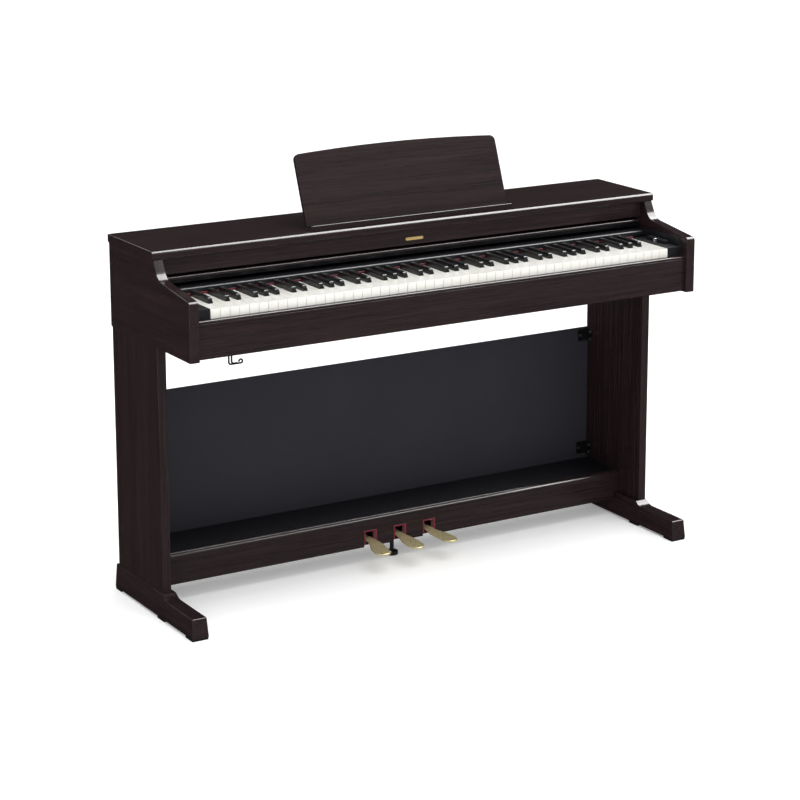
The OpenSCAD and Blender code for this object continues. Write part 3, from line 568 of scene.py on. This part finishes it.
def screw(name, place, normal):
    """A domed screw head with a cross recess, which points along normal."""
    bm = bmesh.new()
    rings = []
    for ring in range(DOME_RINGS + 1):
        turn = ring / DOME_RINGS * math.pi / 2
        radius = HEAD_RADIUS * (1 - 0.32 * (1 - math.cos(turn)))
        rings.append([bm.verts.new(v) for v in head_circle(radius, HEAD_HIGH * math.sin(turn))])
    for lower, upper in zip(rings, rings[1:]):
        for i in range(HEAD_SIDES):
            j = (i + 1) % HEAD_SIDES
            bm.faces.new([lower[i], lower[j], upper[j], upper[i]])
    bm.faces.new(rings[0][::-1])

    arm, half = HEAD_RADIUS * 0.55, HEAD_RADIUS * 0.13
    cross = [(arm, half), (half, half), (half, arm), (-half, arm), (-half, half), (-arm, half),
             (-arm, -half), (-half, -half), (-half, -arm), (half, -arm), (half, -half), (arm, -half)]
    rim = rings[-1]
    lip = [bm.verts.new((x, y, HEAD_HIGH)) for x, y in cross]
    pit = [bm.verts.new((x * 0.8, y * 0.8, HEAD_HIGH * 0.25)) for x, y in cross]
    edges = [bm.edges.get((rim[i], rim[(i + 1) % HEAD_SIDES])) for i in range(HEAD_SIDES)]
    edges += [bm.edges.new((lip[i], lip[(i + 1) % len(lip)])) for i in range(len(lip))]
    bmesh.ops.triangle_fill(bm, use_beauty=True, edges=edges)
    for i in range(len(lip)):
        j = (i + 1) % len(lip)
        bm.faces.new([lip[i], lip[j], pit[j], pit[i]])
    bm.faces.new(pit)
    bmesh.ops.recalc_face_normals(bm, faces=bm.faces)
    turned = Vector(normal).to_track_quat("Z", "Y").to_matrix().to_4x4()
    bmesh.ops.transform(bm, matrix=Matrix.Translation(place) @ turned, verts=bm.verts)

    mesh = bpy.data.meshes.new(name)
    bm.to_mesh(mesh)
    bm.free()
    mesh.materials.append(blackened)
    piece = bpy.data.objects.new(name, mesh)
    scene.collection.objects.link(piece)
    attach(piece, "piano")


for label, (node, count) in REAR_SCREWS.items():
    low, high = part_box(node)
    left, right = low[0] + SCREW_INSET, high[0] - SCREW_INSET
    for row, z in enumerate((low[2] + SCREW_INSET, high[2] - SCREW_INSET)):
        for i in range(count):
            x = left + (right - left) * i / (count - 1)
            screw(f"rear_screw_{label}_{row}_{i}", (x, high[1], z), (0, 1, 0))

# ---- Floor and light -----------------------------------------------------------------------------------

FLOOR_HALF = 40
floor_mesh = bpy.data.meshes.new("floor")
floor_mesh.from_pydata([(-FLOOR_HALF, -FLOOR_HALF, 0), (FLOOR_HALF, -FLOOR_HALF, 0),
                        (FLOOR_HALF, FLOOR_HALF * 1.5, 0), (-FLOOR_HALF, FLOOR_HALF * 1.5, 0)],
                       [], [(0, 1, 2, 3)])
floor = bpy.data.objects.new("floor", floor_mesh)
scene.collection.objects.link(floor)
g = Graph("floor")
soft = g.noise(g.coords(), 0.6, 2, 0.5)
g.link(g.mix(srgb("#fbfbfb"), srgb("#ffffff"), g.span(soft, 0, 1)), g.shader.inputs["Base Color"])
g.set(Roughness=0.9, Specular_IOR_Level=0.0, Emission_Color=(1, 1, 1, 1), Emission_Strength=0.2)
floor_mesh.materials.append(g.material)
floor.visible_glossy = False

# The studio is white all round, and dim in reflections, so that dark satin faces stay dark
SKY_SEEN = 1.05
SKY_GLOSS_FRONT = 0.3
SKY_GLOSS_BACK = 0.03
world = bpy.data.worlds.new("world")
scene.world = world
world.use_nodes = True
sky_tree = world.node_tree
sky = sky_tree.nodes["Background"]
sky.inputs["Color"].default_value = (1, 1, 1, 1)


def sky_span(source, to_low, to_high, from_low=0.0, from_high=1.0):
    """Maps a value to a range, in the sky's node tree."""
    made = sky_tree.nodes.new("ShaderNodeMapRange")
    ends = (("From Min", from_low), ("From Max", from_high), ("To Min", to_low), ("To Max", to_high))
    for name, value in ends:
        made.inputs[name].default_value = value
    sky_tree.links.new(source, made.inputs["Value"])
    return made


rays = sky_tree.nodes.new("ShaderNodeLightPath")
where = sky_tree.nodes.new("ShaderNodeTexCoord")
apart = sky_tree.nodes.new("ShaderNodeSeparateXYZ")
sky_tree.links.new(where.outputs["Generated"], apart.inputs["Vector"])
gloss = sky_span(apart.outputs["Y"], SKY_GLOSS_FRONT, SKY_GLOSS_BACK, -1.0, 0.6)
strength = sky_span(rays.outputs["Is Glossy Ray"], SKY_SEEN, SKY_GLOSS_FRONT)
sky_tree.links.new(gloss.outputs["Result"], strength.inputs["To Max"])
sky_tree.links.new(strength.outputs["Result"], sky.inputs["Strength"])


def softbox(name, place, aim, size, radiance, highlights):
    """A rectangular light of a given radiance; it makes either highlights or soft shading."""
    data = bpy.data.lights.new(name, "AREA")
    data.shape = "RECTANGLE"
    data.size, data.size_y = size
    data.energy = radiance * math.pi * size[0] * size[1]
    light = bpy.data.objects.new(name, data)
    scene.collection.objects.link(light)
    light.location = place
    light.rotation_euler = (Vector(aim) - Vector(place)).to_track_quat("-Z", "Y").to_euler()
    light.visible_camera = False
    light.visible_diffuse = not highlights
    light.visible_glossy = highlights


softbox("key_light", (0.2, -1.2, 4.2), (0, -0.1, 0.6), (2.6, 2.0), 4.6, highlights=False)
softbox("overhead_light", (2.1, -0.35, 3.9), (0.2, -0.1, 0.8), (3.6, 3.0), 24, highlights=True)
softbox("front_light", (2.2, -2.5, 4.0), (0, -0.3, 0.75), (2.6, 0.9), 4, highlights=True)
softbox("fill_light", (-1.4, -4.2, 2.4), (0, 0, 0.6), (2.4, 1.6), 1.6, highlights=False)
softbox("rear_light", (-0.9, 3.2, 2.9), (-0.3, 0, 0.7), (2.6, 1.2), 5, highlights=True)
softbox("side_light", (-2.9, -1.7, 0.5), (-0.6, 0, 0.5), (1.0, 1.6), 4, highlights=True)
